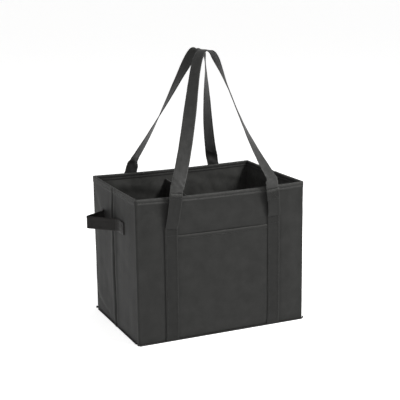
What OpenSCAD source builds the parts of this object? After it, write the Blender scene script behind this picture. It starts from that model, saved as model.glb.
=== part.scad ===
// Foldable box tote bag: cloth walls over stiffener boards, creased side walls and
// base that fold inward, two carrying handles, two grab handles and one divider.
// Origin: centre of the footprint on the ground. +Z up, front wall faces -Y.

/* [Bag] */
// Width of the open bag, left to right
bag_w = 360; // [330:2:400]
// Depth of the open bag, front to back
bag_d = 250; // [240:2:260]
// Height of the walls to the top of the rim
bag_h = 290; // [280:2:310]

/* [Walls] */
// Thickness of one layer of cloth
cloth_t = 0.8; // [0.6:0.1:1]
// Thickness of a stiffener board
board_t = 2.4; // [2:0.1:2.8]
// How far a board stops short of its wall's edges
board_margin = 6; // [4:0.5:10]
// Height of the binding folded over the rim
rim_h = 12; // [8:1:16]
// Thickness of the rim binding
rim_t = 0.6; // [0.4:0.1:0.8]

/* [Base] */
// Radius of the rolled hem along the bottom edges
piping_r = 1.5; // [1:0.1:2]
// Gap between a wall and the folding base behind the hem strip
base_gap = 2; // [1.5:0.1:3]

/* [Pocket and divider] */
// Height of the flat pocket's top hem
pocket_h = 213; // [180:1:220]
// Sideways place of the divider
divider_x = -18; // [-30:1:30]
// Height of the divider's top edge
divider_h = 269; // [240:1:275]
// Thickness of the divider cloth
divider_t = 2; // [1.5:0.1:3]

/* [Straps] */
// Width of the carrying straps
strap_w = 26; // [20:1:30]
// Thickness of the carrying straps
strap_t = 2.4; // [1.6:0.1:3]
// Sideways place of the sewn straps, each side of the middle
strap_x = 110; // [100:1:115]
// Height at which the straps leave the wall
sewn_h = 230; // [220:1:240]
// Height at which the short risers end and the handle loops begin
riser_h = 303; // [300:1:310]
// How far the risers stand off the wall at their tops
riser_out = 15; // [12:0.5:20]
// Height of the handle loops at the top
handle_h = 552; // [520:1:560]

/* [Grab handles] */
// Width of a grab strap
grab_w = 25; // [20:1:30]
// Thickness of a grab strap
grab_t = 2; // [1.5:0.1:2.5]
// Height of a grab strap's lower edge
grab_h = 208; // [190:1:220]
// How far a grab handle stands out from the side wall
grab_out = 50; // [40:1:55]

/* [Hidden] */
wall_t = 2 * cloth_t + board_t;
half_w = bag_w / 2;
half_d = bag_d / 2;
fold_y = half_d - wall_t;            // inner corner line, on which the side walls fold
wall_top = bag_h - rim_t;            // top edge of the wall under the binding
base_end = fold_y - wall_t - base_gap; // line on which the base folds up
slit = 0.3;                          // clearance between parts on each side of a fold
gusset_foot = 6;                     // height of the soft corner at the corner line
gusset_slope = 1.2;                  // rise of the soft corner per unit of wall
gusset_top = fold_y;                 // height of the soft part at the middle crease
open_gap = 1;                        // clearance at the base's open fold line
rim_gap = 9;                         // length of rim left bare at each fold
strap_under = 2;                     // thickness of the straps sewn to the wall
apex_gap = 0.8;                      // each handle's clearance to the middle plane

cloth_grey = "#3e3e3c";
lining_grey = "#2f2f2e";
board_brown = "#8a7656";
strap_grey = "#4a4a47";
piping_black = "#232321";

// ---- helpers ----

// Places children made for the left side on the left or the right
module on_side(side) {
    if (side == "left") children();
    else mirror([1, 0, 0]) children();
}

// Places children made for the rear at the rear or the front
module on_end(end) {
    if (end == "rear" || end == "back") children();
    else mirror([0, 1, 0]) children();
}

// A sheet lying in a plane across X, drawn as an outline of [y, z] points
module sheet_yz(x, thick, outline) {
    translate([x, 0, 0])
        rotate([90, 0, 90])
            linear_extrude(thick) polygon(outline);
}

// Lower edge of a side wall's stiff part at distance s from its corner line
function soft_top(s) = min(gusset_foot + gusset_slope * s, gusset_top);

// Distance from the corner line at which the soft part reaches its full height
soft_run = (gusset_top - gusset_foot) / gusset_slope;

// Outline of a rear side wall half, drawn in from its edges by inset
function half_outline(inset) =
    let (
        near = slit + inset,
        far = fold_y - slit - inset,
        rise = inset * sqrt(1 + gusset_slope * gusset_slope)
    ) [
        [fold_y - near, soft_top(near) + rise],
        [fold_y - near, wall_top - inset],
        [fold_y - far, wall_top - inset],
        [fold_y - far, gusset_top + inset],
        [fold_y - soft_run - (inset - rise) / gusset_slope, gusset_top + inset]
    ];

// Outline of the soft triangle between a rear side wall half and the base
function gusset_outline() =
    let (
        y_corner = base_end - slit,
        clear = 2 * slit
    ) [
        [y_corner, wall_t],
        [y_corner, soft_top(fold_y - y_corner) - clear],
        [fold_y - soft_run, gusset_top - clear],
        [slit, gusset_top - clear],
        [slit, wall_t]
    ];

// ---- front and back walls ----

// One full-width layer of the back wall, starting at depth y_from
module wall_layer(y_from, thick, inset, z_low) {
    translate([-half_w + inset, y_from, z_low])
        cube([bag_w - 2 * inset, thick, wall_top - inset - z_low]);
}

module wall_outer(end) {
    color(cloth_grey) on_end(end)
        wall_layer(half_d - cloth_t, cloth_t, 0, 0);
}

module wall_board(end) {
    color(board_brown) on_end(end)
        wall_layer(fold_y + cloth_t, board_t, board_margin, board_margin);
}

module wall_lining(end) {
    color(lining_grey) on_end(end)
        wall_layer(fold_y, cloth_t, 0, 0);
}

// Binding over the rim; its inner flap stops short, to let the side walls fold in
module wall_rim(end) {
    flap_w = bag_w - 2 * (wall_t + rim_gap);
    color(cloth_grey) on_end(end)
        difference() {
            union() {
                translate([-half_w, fold_y, bag_h - rim_h])
                    cube([bag_w, wall_t + rim_t, rim_h]);
                translate([-flap_w / 2, fold_y - rim_t, bag_h - rim_h])
                    cube([flap_w, wall_t, rim_h]);
            }
            translate([-half_w - 1, fold_y, bag_h - rim_h - 1])
                cube([bag_w + 2, wall_t, rim_h + 1 - rim_t]);
        }
}

// Strip of cloth that joins the wall to the folding base
module wall_hem_strip(end) {
    side_clear = wall_t + 1;
    color(lining_grey) on_end(end)
        translate([-half_w + side_clear, base_end + slit, 0])
            cube([bag_w - 2 * side_clear, fold_y - base_end - slit, wall_t]);
}

module wall_piping(end) {
    color(piping_black) on_end(end)
        translate([-half_w - piping_r, half_d + piping_r, piping_r])
            rotate([0, 90, 0])
                cylinder(r = piping_r, h = bag_w + 2 * piping_r, $fn = 24);
}

// Strap sewn flat to the wall from the bottom hem up to the free riser
module wall_strap(end, x) {
    z_low = 2 * piping_r + 1;
    color(strap_grey) on_end(end)
        translate([x - strap_w / 2, half_d, z_low])
            cube([strap_w, strap_under, sewn_h - z_low]);
}

module front_pocket() {
    pocket_t = 1;
    z_low = 6;
    side_clear = 0.5;
    pocket_w = 2 * (strap_x - strap_w / 2 - side_clear);
    color(cloth_grey)
        translate([-pocket_w / 2, -half_d - pocket_t, z_low])
            cube([pocket_w, pocket_t, pocket_h - z_low]);
}

// ---- side walls ----

module side_outer(side, end) {
    color(cloth_grey) on_side(side) on_end(end)
        sheet_yz(-half_w, cloth_t, half_outline(0));
}

module side_board(side, end) {
    color(board_brown) on_side(side) on_end(end)
        sheet_yz(-half_w + cloth_t, board_t, half_outline(board_margin));
}

module side_lining(side, end) {
    color(lining_grey) on_side(side) on_end(end)
        sheet_yz(-half_w + cloth_t + board_t, cloth_t, half_outline(0));
}

module side_rim(side, end) {
    length = fold_y - 2 * rim_gap;
    color(cloth_grey) on_side(side) on_end(end)
        difference() {
            translate([-half_w - rim_t, rim_gap, bag_h - rim_h])
                cube([wall_t + 2 * rim_t, length, rim_h]);
            translate([-half_w, rim_gap - 1, bag_h - rim_h - 1])
                cube([wall_t, length + 2, rim_h + 1 - rim_t]);
        }
}

module side_gusset(side, end) {
    color(cloth_grey) on_side(side) on_end(end)
        sheet_yz(-half_w, wall_t, gusset_outline());
}

// ---- folding base ----

// The front half stops a little short, because its far fold line is left open
function base_reach(end) = base_end - slit - (end == "front" ? open_gap : 0);

module base_layer(end, z_from, thick, inset) {
    on_end(end)
        translate([-half_w + inset, slit + inset, z_from])
            cube([bag_w - 2 * inset, base_reach(end) - slit - 2 * inset, thick]);
}

module base_cloth(end) {
    color(cloth_grey) base_layer(end, 0, cloth_t, 0);
}

module base_board(end) {
    color(board_brown) base_layer(end, cloth_t, board_t, board_margin);
}

module base_lining(end) {
    color(lining_grey) base_layer(end, cloth_t + board_t, cloth_t, 0);
}

// Rolled hems along the two side edges of one half of the base
module base_piping(end) {
    color(piping_black) on_end(end)
        for (x = [-1, 1])
            translate([x * (half_w + piping_r), base_reach(end) - 1, piping_r])
                rotate([90, 0, 0])
                    cylinder(r = piping_r, h = base_reach(end) - 2, $fn = 24);
}

// ---- divider ----

// One soft sheet, cut away below so that the folding base can rise under it
module divider() {
    edge_gap = 1.5;
    reach = fold_y - edge_gap;
    half = [
        [reach, soft_top(edge_gap)],
        [reach, divider_h],
        [0, divider_h],
        [0, gusset_top],
        [fold_y - soft_run, gusset_top]
    ];
    color(lining_grey)
        sheet_yz(divider_x - divider_t / 2, divider_t,
            concat(
                [for (p = half) if (p[0] > 0) p],
                [for (i = [len(half) - 1:-1:0])
                    if (half[i][0] > 0) [-half[i][0], half[i][1]]]
            )
        );
}

// ---- straps and handles ----

// Unit vector
function unit(v) = v / norm(v);

// Corner points of one flat ring: centre, travel direction, sideways direction
function ring(centre, along, side, width, thick) =
    let (
        t = unit(along),
        n = unit(cross(t, side)),
        w = cross(n, t)
    ) [
        centre - w * width / 2 - n * thick / 2,
        centre + w * width / 2 - n * thick / 2,
        centre + w * width / 2 + n * thick / 2,
        centre - w * width / 2 + n * thick / 2
    ];

// Solid through a list of four-point rings, closed at both ends
module ribbon(rings) {
    last = len(rings) - 1;
    polyhedron(
        points = [for (r = rings) each r],
        faces = concat(
            [[0, 1, 2, 3]],
            [for (i = [0:last - 1]) for (k = [0:3])
                let (a = 4 * i + k, b = 4 * i + (k + 1) % 4)
                    [a, a + 4, b + 4, b]],
            [[4 * last + 3, 4 * last + 2, 4 * last + 1, 4 * last]]
        )
    );
}

riser_foot_y = half_d + strap_under / 2 + 1.5;
riser_foot_z = sewn_h + 7;           // clear of the sewn strap's end at any lean

// Sideways places of the riser tops on the front and back, [left, right]
kink_x = [[-101, 103], [-87, 103]];

// Short free stretch of strap between the wall and the handle loop
module riser(end, x_foot, x_top) {
    foot = [x_foot, riser_foot_y, riser_foot_z];
    top = [x_top, half_d + riser_out, riser_h];
    color(strap_grey) on_end(end)
        ribbon([for (p = [foot, top])
            ring(p, top - foot, [1, 0, 0], strap_w, strap_t)]);
}

// Point on a cubic curve through four control points
function curve(p, u) =
    pow(1 - u, 3) * p[0] + 3 * pow(1 - u, 2) * u * p[1]
    + 3 * (1 - u) * u * u * p[2] + pow(u, 3) * p[3];

// Travel direction on the same curve
function curve_dir(p, u) =
    pow(1 - u, 2) * (p[1] - p[0]) + 2 * (1 - u) * u * (p[2] - p[1])
    + u * u * (p[3] - p[2]);

loop_foot_z = riser_h + 5;
loop_foot_y = half_d + riser_out;
apex_y = strap_w / 2 + apex_gap;
leg_y = 0.55 * loop_foot_y;          // depth of a leg's first control point
leg_z = (loop_foot_z + handle_h) / 2;

// Control points of a leg from its foot to the top of the loop
function leg(x_foot, x_mid, x_high, x_apex) = [
    [x_foot, loop_foot_y, loop_foot_z],
    [x_mid, leg_y, leg_z],
    [x_high, apex_y, handle_h + 3],
    [x_apex, apex_y, handle_h - strap_t]
];

// The strap turns a quarter turn about the vertical from foot to top
function leg_turn(u) = 90 * pow(u, 0.8);

// Rings of one leg; turn is 1 or -1 for the way the strap twists
function leg_rings(p, turn, steps) = [
    for (i = [0:steps])
        let (u = i / steps, a = leg_turn(u))
            ring(curve(p, u), curve_dir(p, u), [cos(a), turn * sin(a), 0],
                strap_w, strap_t)
];

function reversed(list) = [for (i = [len(list) - 1:-1:0]) list[i]];

// Corner order of a ring seen from the other way along the strap
function other_way(r) = [r[1], r[0], r[3], r[2]];

// Whole loop: up the left leg, over the top and down the right leg
module loop(end, left_leg, right_leg) {
    steps = 14;
    up = leg_rings(left_leg, 1, steps);
    down = leg_rings(right_leg, -1, steps);
    color(strap_grey) on_end(end)
        ribbon(concat(up, [for (r = reversed(down)) if (r != down[steps])
            other_way(r)]));
}

// ---- grab handles ----

grab_rear_y = 50;                    // tack on the rear half of the side wall
grab_bend_y = 24;                    // outermost point of the strap
grab_leave_y = -30;                  // where the strap leaves the front half
grab_front_y = -65;                  // tack on the front half
grab_lift = grab_t / 2 + 0.5;        // centre of the strap above the cloth

// Centre of the grab strap at depth y, measured out from the side wall
function grab_centre(y) =
    y > grab_bend_y
        ? grab_lift + (grab_out - grab_lift)
            * (grab_rear_y - y) / (grab_rear_y - grab_bend_y)
    : y > grab_leave_y
        ? grab_lift + (grab_out - grab_lift)
            * (y - grab_leave_y) / (grab_bend_y - grab_leave_y)
    : grab_lift;

// Grab strap from one depth to another as an upright band seen from above
module grab_band(side, depths) {
    outer = [for (y = depths) [-half_w - grab_centre(y) - grab_t / 2, y]];
    inner = [for (y = depths) [-half_w - grab_centre(y) + grab_t / 2, y]];
    color(piping_black) on_side(side)
        translate([0, 0, grab_h])
            linear_extrude(grab_w) polygon(concat(outer, reversed(inner)));
}

module grab_rear(side) {
    grab_band(side, [grab_rear_y, grab_bend_y, slit]);
}

module grab_front(side) {
    grab_band(side, [-slit, grab_leave_y, grab_front_y]);
}

// ---- one line for each part ----

wall_outer("back");  // back_outer
wall_board("back");  // back_board
wall_lining("back");  // back_lining
wall_rim("back");  // back_rim
wall_hem_strip("back");  // back_hem_strip
wall_piping("back");  // back_piping
wall_strap("back", -strap_x);  // back_strap_left
wall_strap("back", strap_x);  // back_strap_right
wall_outer("front");  // front_outer
wall_board("front");  // front_board
wall_lining("front");  // front_lining
wall_rim("front");  // front_rim
wall_hem_strip("front");  // front_hem_strip
wall_piping("front");  // front_piping
wall_strap("front", -strap_x);  // front_strap_left
wall_strap("front", strap_x);  // front_strap_right
front_pocket();
side_outer("left", "rear");  // left_rear_outer
side_board("left", "rear");  // left_rear_board
side_lining("left", "rear");  // left_rear_lining
side_rim("left", "rear");  // left_rear_rim
side_outer("left", "front");  // left_front_outer
side_board("left", "front");  // left_front_board
side_lining("left", "front");  // left_front_lining
side_rim("left", "front");  // left_front_rim
side_outer("right", "rear");  // right_rear_outer
side_board("right", "rear");  // right_rear_board
side_lining("right", "rear");  // right_rear_lining
side_rim("right", "rear");  // right_rear_rim
side_outer("right", "front");  // right_front_outer
side_board("right", "front");  // right_front_board
side_lining("right", "front");  // right_front_lining
side_rim("right", "front");  // right_front_rim
base_cloth("rear");  // base_rear_cloth
base_board("rear");  // base_rear_board
base_lining("rear");  // base_rear_lining
base_piping("rear");  // base_rear_piping
base_cloth("front");  // base_front_cloth
base_board("front");  // base_front_board
base_lining("front");  // base_front_lining
base_piping("front");  // base_front_piping
side_gusset("left", "rear");  // left_rear_gusset
side_gusset("left", "front");  // left_front_gusset
side_gusset("right", "rear");  // right_rear_gusset
side_gusset("right", "front");  // right_front_gusset
divider();
riser("front", -strap_x, kink_x[0][0]);  // front_riser_left
riser("front", strap_x, kink_x[0][1]);  // front_riser_right
riser("back", -strap_x, kink_x[1][0]);  // back_riser_left
riser("back", strap_x, kink_x[1][1]);  // back_riser_right
loop("front", leg(kink_x[0][0], -45, -12, 21), leg(kink_x[0][1], 45, 52, 21));  // front_handle
loop("back", leg(kink_x[1][0], -25, -2, 14), leg(kink_x[1][1], 60, 42, 14));  // back_handle
grab_rear("left");  // left_grab_rear
grab_front("left");  // left_grab_front
grab_rear("right");  // right_grab_rear
grab_front("right");  // right_grab_front
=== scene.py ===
import math
import random
import bmesh
import bpy
import numpy as np
from mathutils import Matrix, Vector


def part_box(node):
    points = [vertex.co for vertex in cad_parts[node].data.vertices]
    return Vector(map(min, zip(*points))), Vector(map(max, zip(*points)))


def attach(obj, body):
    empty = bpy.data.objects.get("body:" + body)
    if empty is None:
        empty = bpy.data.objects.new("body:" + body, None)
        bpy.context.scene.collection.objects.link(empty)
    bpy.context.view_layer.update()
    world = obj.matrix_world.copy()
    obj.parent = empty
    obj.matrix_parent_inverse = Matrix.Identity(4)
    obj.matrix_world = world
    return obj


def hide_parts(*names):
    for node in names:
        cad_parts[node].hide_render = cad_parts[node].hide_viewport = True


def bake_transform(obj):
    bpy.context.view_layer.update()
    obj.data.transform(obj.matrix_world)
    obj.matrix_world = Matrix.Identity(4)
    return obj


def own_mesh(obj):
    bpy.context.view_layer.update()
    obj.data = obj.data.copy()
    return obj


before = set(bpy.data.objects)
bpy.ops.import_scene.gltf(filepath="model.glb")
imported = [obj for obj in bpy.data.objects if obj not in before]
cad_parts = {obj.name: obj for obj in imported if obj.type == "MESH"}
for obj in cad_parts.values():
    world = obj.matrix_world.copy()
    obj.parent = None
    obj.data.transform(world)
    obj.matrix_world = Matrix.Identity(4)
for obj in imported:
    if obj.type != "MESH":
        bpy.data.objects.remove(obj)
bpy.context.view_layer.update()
mm = 0.001

# The box's own planes and lines, all read from the frame

bag = {
    "outX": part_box("back_outer")[1].x,  # outer face of the side walls
    "outY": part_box("back_outer")[1].y,  # outer face of the back wall
    "inX": -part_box("left_rear_lining")[1].x,  # corner lines, on which the walls fold
    "inY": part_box("back_lining")[0].y,
    "cloth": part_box("back_outer")[1].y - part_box("back_outer")[0].y,
    "wallTop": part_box("back_outer")[1].z,
    "top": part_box("back_rim")[1].z,
    "rimLow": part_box("back_rim")[0].z,
    "margin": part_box("back_outer")[1].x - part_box("back_board")[1].x,  # bare edge round a board
    "baseTop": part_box("base_rear_lining")[1].z,
    "baseEnd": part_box("base_rear_cloth")[1].y,  # line on which the base folds up
}

# Lower edge of a side wall's stiff part: it climbs from each corner line to the middle
sideFold = {"foot": 6 * mm, "slope": 1.2, "top": bag["inY"], "strip": 8 * mm}


def ease(t):
    t = np.clip(t, 0, 1)
    return t * t * (3 - 2 * t)


def softTop(y):
    rise = sideFold["foot"] + sideFold["slope"] * (bag["inY"] - np.abs(y))
    return np.minimum(rise, sideFold["top"])


# Smooth random waves of about unit height, the same on each run
def ripple(u, v, seed, length):
    rng = random.Random(seed)
    total = np.zeros(np.broadcast(u, v).shape)
    for _ in range(8):
        angle, phase = rng.uniform(0, math.pi), rng.uniform(0, 2 * math.pi)
        wave = 2 * math.pi / (length * rng.uniform(0.55, 1.7))
        total = total + np.sin((u * math.cos(angle) + v * math.sin(angle)) * wave + phase)
    return total / 4


def spaced(low, high, step, marks=()):
    count = max(2, int(round((high - low) / step)) + 1)
    plain = [p for p in np.linspace(low, high, count) if all(abs(p - m) > step * 0.3 for m in marks)]
    return np.array(sorted(set([low, high] + plain + [m for m in marks if low < m < high])))


# Finishes: each cloth is a recipe of colours, pattern sizes in millimetres, gloss and sheen


def hexColour(text):
    parts = [int(text[i : i + 2], 16) / 255 for i in (1, 3, 5)]
    return tuple(c / 12.92 if c <= 0.04045 else ((c + 0.055) / 1.055) ** 2.4 for c in parts) + (1,)


def addNode(tree, kind, values=None, links=None, **settings):
    made = tree.nodes.new(kind)
    for key, value in settings.items():
        setattr(made, key, value)
    for key, value in (values or {}).items():
        made.inputs[key].default_value = value
    for key, source in (links or {}).items():
        tree.links.new(source, made.inputs[key])
    return made


# A new material with constants set on its skin, and the tree that links the rest to it
def newMaterial(name, values):
    made = bpy.data.materials.new(name)
    made.use_nodes = True
    tree = made.node_tree
    skin = tree.nodes["Principled BSDF"].inputs
    for key, value in values.items():
        skin[key].default_value = value
    return made, tree, skin, addNode(tree, "ShaderNodeTexCoord").outputs["Object"]


# Random mottle with patches about size millimetres across
def mottle(tree, size, detail, roughness, place):
    values = {"Scale": 1 / (size * mm), "Detail": detail, "Roughness": roughness}
    return addNode(tree, "ShaderNodeTexNoise", values, {"Vector": place}).outputs["Fac"]


waveTurn = 0.314  # a wave texture's period times its scale


# Parallel bands about size millimetres apart
def bands(tree, size, direction, values, place):
    scale = {"Scale": waveTurn / (size * mm)}
    made = addNode(
        tree, "ShaderNodeTexWave", {**scale, **values}, {"Vector": place}, bands_direction=direction
    )
    return made.outputs["Fac"]


def combine(tree, operation, first, second):
    made = addNode(tree, "ShaderNodeMath", links={0: first, 1: second}, operation=operation)
    return made.outputs["Value"]


# Mix of two colours, each a hex value or another node's output
def mixColours(tree, share, first, second):
    pair = {6: first, 7: second}  # the mix node's two colour sockets
    values = {k: hexColour(c) for k, c in pair.items() if isinstance(c, str)}
    links = {k: c for k, c in pair.items() if k not in values}
    made = addNode(tree, "ShaderNodeMix", values, {0: share, **links}, data_type="RGBA")
    return made.outputs[2]


# Spun-bonded cloth: rows of heat-bonded dimples with loose fibres matted between them
def bondedRelief(tree, weave, spec):
    dimples = addNode(
        tree, "ShaderNodeTexVoronoi", {"Scale": 1 / (spec["pitch"] * mm), "Randomness": 0.12},
        {"Vector": weave},
    )
    fibres = mottle(tree, spec["fibre"], 5.0, 0.7, weave)
    return combine(tree, "ADD", dimples.outputs["Distance"], fibres)


# Webbing: ribs across the strap crossed by warp threads along it
def wovenRelief(tree, weave, spec):
    ribs = bands(tree, spec["pitch"], "Y", {"Distortion": 1.2, "Detail": 2.0, "Detail Scale": 2.0}, weave)
    threads = bands(tree, spec["fibre"], "X", {"Distortion": 1.0, "Detail": 1.0}, weave)
    return combine(tree, "MULTIPLY", ribs, threads)


# Cloth of any kind: mottled colour, pale worn places, and a drawn relief
def clothMaterial(spec, drawRelief=bondedRelief):
    made, tree, skin, place = newMaterial(
        spec["name"],
        {
            "Roughness": spec["roughness"],
            "IOR": 1.49,  # polypropylene
            "Specular IOR Level": 0.16,  # loose fibres scatter most of the gloss
            "Sheen Weight": spec["sheen"],
            "Sheen Roughness": 0.45,
        },
    )
    weave = addNode(tree, "ShaderNodeUVMap", uv_map="clothMap").outputs["UV"]
    patches = mottle(tree, spec["patch"], 4.0, 0.62, place)
    mottled = mixColours(tree, patches, spec["dark"], spec["light"])
    wear = addNode(tree, "ShaderNodeAttribute", attribute_name="wear").outputs["Fac"]
    worn = combine(tree, "MULTIPLY", wear, mottle(tree, spec["rub"], 3.0, 0.5, place))
    bump = addNode(
        tree, "ShaderNodeBump", {"Strength": spec["relief"], "Distance": spec["depth"] * mm},
        {"Height": drawRelief(tree, weave, spec)},
    )
    tree.links.new(mixColours(tree, worn, mottled, spec["worn"]), skin["Base Color"])
    tree.links.new(bump.outputs["Normal"], skin["Normal"])
    return made


# Spun-bonded polypropylene, dyed black: matt, faintly dimpled, paler where it is rubbed.
# The bond points are 1.2 mm apart on the cloth and drawn at twice that, so that they show.
shellFinish = {
    "name": "spunBondedShell", "dark": "#1b1b1a", "light": "#2d2d2c", "worn": "#62625f",
    "patch": 26, "rub": 7, "pitch": 2.4, "fibre": 1.1, "relief": 0.5, "depth": 0.25,
    "roughness": 0.68, "sheen": 0.05,
}
shellCloth = clothMaterial(shellFinish)
# The same cloth in a thinner grade, used inside. Its paler tone and strong pale patches are partly painted
# light: the light inside the bag and highlights on its wrinkled lining
liningCloth = clothMaterial(
    {
        **shellFinish, "name": "spunBondedLining", "dark": "#1c1c1b", "light": "#4a4a48",
        "worn": "#646462", "patch": 34, "roughness": 0.7,
    }
)
# Binding: the shell cloth folded over the rim, pale along both folds and at the puff below its seam, partly
# from wear and partly as painted highlight
bindingCloth = clothMaterial(
    {
        **shellFinish, "name": "spunBondedBinding", "dark": "#1f1f1e", "light": "#2c2c2b",
        "worn": "#666664", "patch": 18, "rub": 5,
    }
)
# Strap: the cloth folded lengthwise and stitched, with a slightly smoother face
strapFinish = {
    **shellFinish, "name": "foldedClothStrap", "dark": "#161615", "light": "#232322",
    "worn": "#5a5a58", "patch": 14, "rub": 4, "pitch": 2.0, "fibre": 1.0, "relief": 0.55,
    "roughness": 0.58, "sheen": 0.06,
}
strapCloth = clothMaterial(strapFinish)
# Handle loops: the same strap, paler partly where hands have held it and partly as painted light from above;
# the front loop is the lit copy, and the back loop's darker copy is painted shade on its legs' undersides
litAndShadedHandleCloth = {
    end: clothMaterial(
        {
            **strapFinish, "name": f"{end}HandleStrapPaintedLightShade", "dark": dark, "light": light,
            "worn": "#666664", "roughness": 0.5,
        }
    )
    for end, dark, light in (("front", "#232322", "#40403f"), ("back", "#1a1a19", "#2e2e2d"))
}
# Grab strap: black polypropylene webbing, ribs 1.6 mm apart
grabWebbing = clothMaterial(
    {
        "name": "wovenGrabWebbing", "dark": "#151413", "light": "#211f1e", "worn": "#403e3c",
        "patch": 12, "rub": 4, "pitch": 1.6, "fibre": 1.2, "relief": 0.6, "depth": 0.3,
        "roughness": 0.6, "sheen": 0.1,
    },
    wovenRelief,
)
# Rolled hem: the darkest cloth, with its edge turned in
hemCloth = clothMaterial(
    {
        **shellFinish, "name": "rolledHemCloth", "dark": "#191918", "light": "#232322",
        "worn": "#4c4c4a", "patch": 9, "rub": 3, "relief": 0.6, "depth": 0.3,
        "roughness": 0.72, "sheen": 0.1,
    }
)


# Finish with no relief: two colours in a faint mottle
def plainMaterial(name, values, dark, light, size, detail, roughness):
    made, tree, skin, place = newMaterial(name, values)
    specks = mottle(tree, size, detail, roughness, place)
    tree.links.new(mixColours(tree, specks, dark, light), skin["Base Color"])
    return made


# Grey board: pressed paper fibre, dull and slightly speckled
boardFinish = plainMaterial("greyBoard", {"Roughness": 0.9}, "#7a6849", "#968463", 1.5, 4.0, 0.7)
# Polyester sewing thread, a little glossier than the cloth
threadGloss = {"Roughness": 0.45, "IOR": 1.57, "Specular IOR Level": 0.25}
thread = plainMaterial("polyesterThread", threadGloss, "#222221", "#363635", 2.5, 2.0, 0.5)
for name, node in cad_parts.items():
    if name.endswith("_board"):
        node.data.materials.clear()
        node.data.materials.append(boardFinish)
print("materials made")

# Steps of the meshes, and the parts that most pieces share
grid = {"cloth": 3.6 * mm, "rim": 4 * mm, "crease": 1 * mm, "base": 6 * mm, "cap": 2 * mm, "sharp": 50}
sides = (("left", -1), ("right", 1))
longEnds = (("back", 1), ("front", -1))
halfEnds = (("rear", 1), ("front", -1))
clothFaces = (("outer", shellCloth, "outer_cloth"), ("lining", liningCloth, "lining_cloth"))


def addObject(name, data):
    made = bpy.data.objects.new(name, data)
    bpy.context.scene.collection.objects.link(made)
    return made


# Closed skin through rings of points; a ring runs along one face and back along the other
def loft(name, rings, wear=None):
    rings = np.asarray(rings, float)
    count, size = rings.shape[:2]
    index = np.arange(count * size).reshape(count, size)
    ahead = np.roll(index, -1, axis=1)
    quads = np.stack([index[:-1], ahead[:-1], ahead[1:], index[1:]], axis=-1).reshape(-1, 4)
    across = np.linalg.norm(np.roll(rings, -1, axis=1) - rings, axis=2).mean(axis=0)
    uPlace = np.concatenate([[0], np.cumsum(across)])
    along = np.linalg.norm(np.diff(rings, axis=0), axis=2).mean(axis=1)
    vPlace = np.concatenate([[0], np.cumsum(along)])
    row, column = np.meshgrid(np.arange(count - 1), np.arange(size), indexing="ij")
    uvs = np.stack(
        [
            np.stack([uPlace[column + i], vPlace[row + j]], axis=-1)
            for i, j in ((0, 0), (1, 0), (1, 1), (0, 1))
        ],
        axis=2,
    ).reshape(-1, 2)
    caps, capUvs = [], []
    for end in (0, count - 1):
        for j in range(size // 2 - 1):
            caps.append([index[end, k] for k in (j, j + 1, size - 2 - j, size - 1 - j)])
            u0, u1 = uPlace[j], uPlace[j + 1]
            capUvs += [(u0, 0), (u1, 0), (u1, grid["cap"]), (u0, grid["cap"])]
    mesh = bpy.data.meshes.new(name)
    mesh.from_pydata(rings.reshape(-1, 3).tolist(), [], quads.tolist() + caps)
    layer = mesh.uv_layers.new(name="clothMap")
    corners = np.concatenate([uvs, np.array(capUvs)]).astype(np.float32)
    layer.data.foreach_set("uv", corners.ravel())
    worn = np.zeros((count, size)) if wear is None else np.broadcast_to(wear, (count, size))
    paint = mesh.attributes.new("wear", "FLOAT", "POINT")
    paint.data.foreach_set("value", worn.astype(np.float32).ravel())
    return finishMesh(name, mesh)


# Thin closed piece between two matching grids of points
def panel(name, front, back):
    return loft(name, np.concatenate([front, back[:, ::-1]], axis=1))


def finishMesh(name, mesh):
    work = bmesh.new()
    work.from_mesh(mesh)
    bmesh.ops.recalc_face_normals(work, faces=work.faces)
    work.to_mesh(mesh)
    work.free()
    mesh.shade_smooth()
    mesh.set_sharp_from_angle(angle=math.radians(grid["sharp"]))
    return addObject(name, mesh)


def join(name, objects):
    work = bmesh.new()
    for piece in objects:
        work.from_mesh(piece.data)
    mesh = objects[0].data.copy()
    mesh.name = name
    work.to_mesh(mesh)
    work.free()
    for piece in objects:
        bpy.data.objects.remove(piece)
    return finishMesh(name, mesh)


# Gives a piece its finish and its place in the frame
def settle(piece, material, body=None, nodes=(), bend=None, crush=None):
    piece.data.materials.clear()
    piece.data.materials.append(material)
    if nodes:
        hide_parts(*nodes)
    if bend:
        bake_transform(piece)
    else:
        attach(piece, body)
    if crush:
        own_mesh(piece)
    return piece


# Wall surfaces: cloth over board, swelling between its sewn edges

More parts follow.
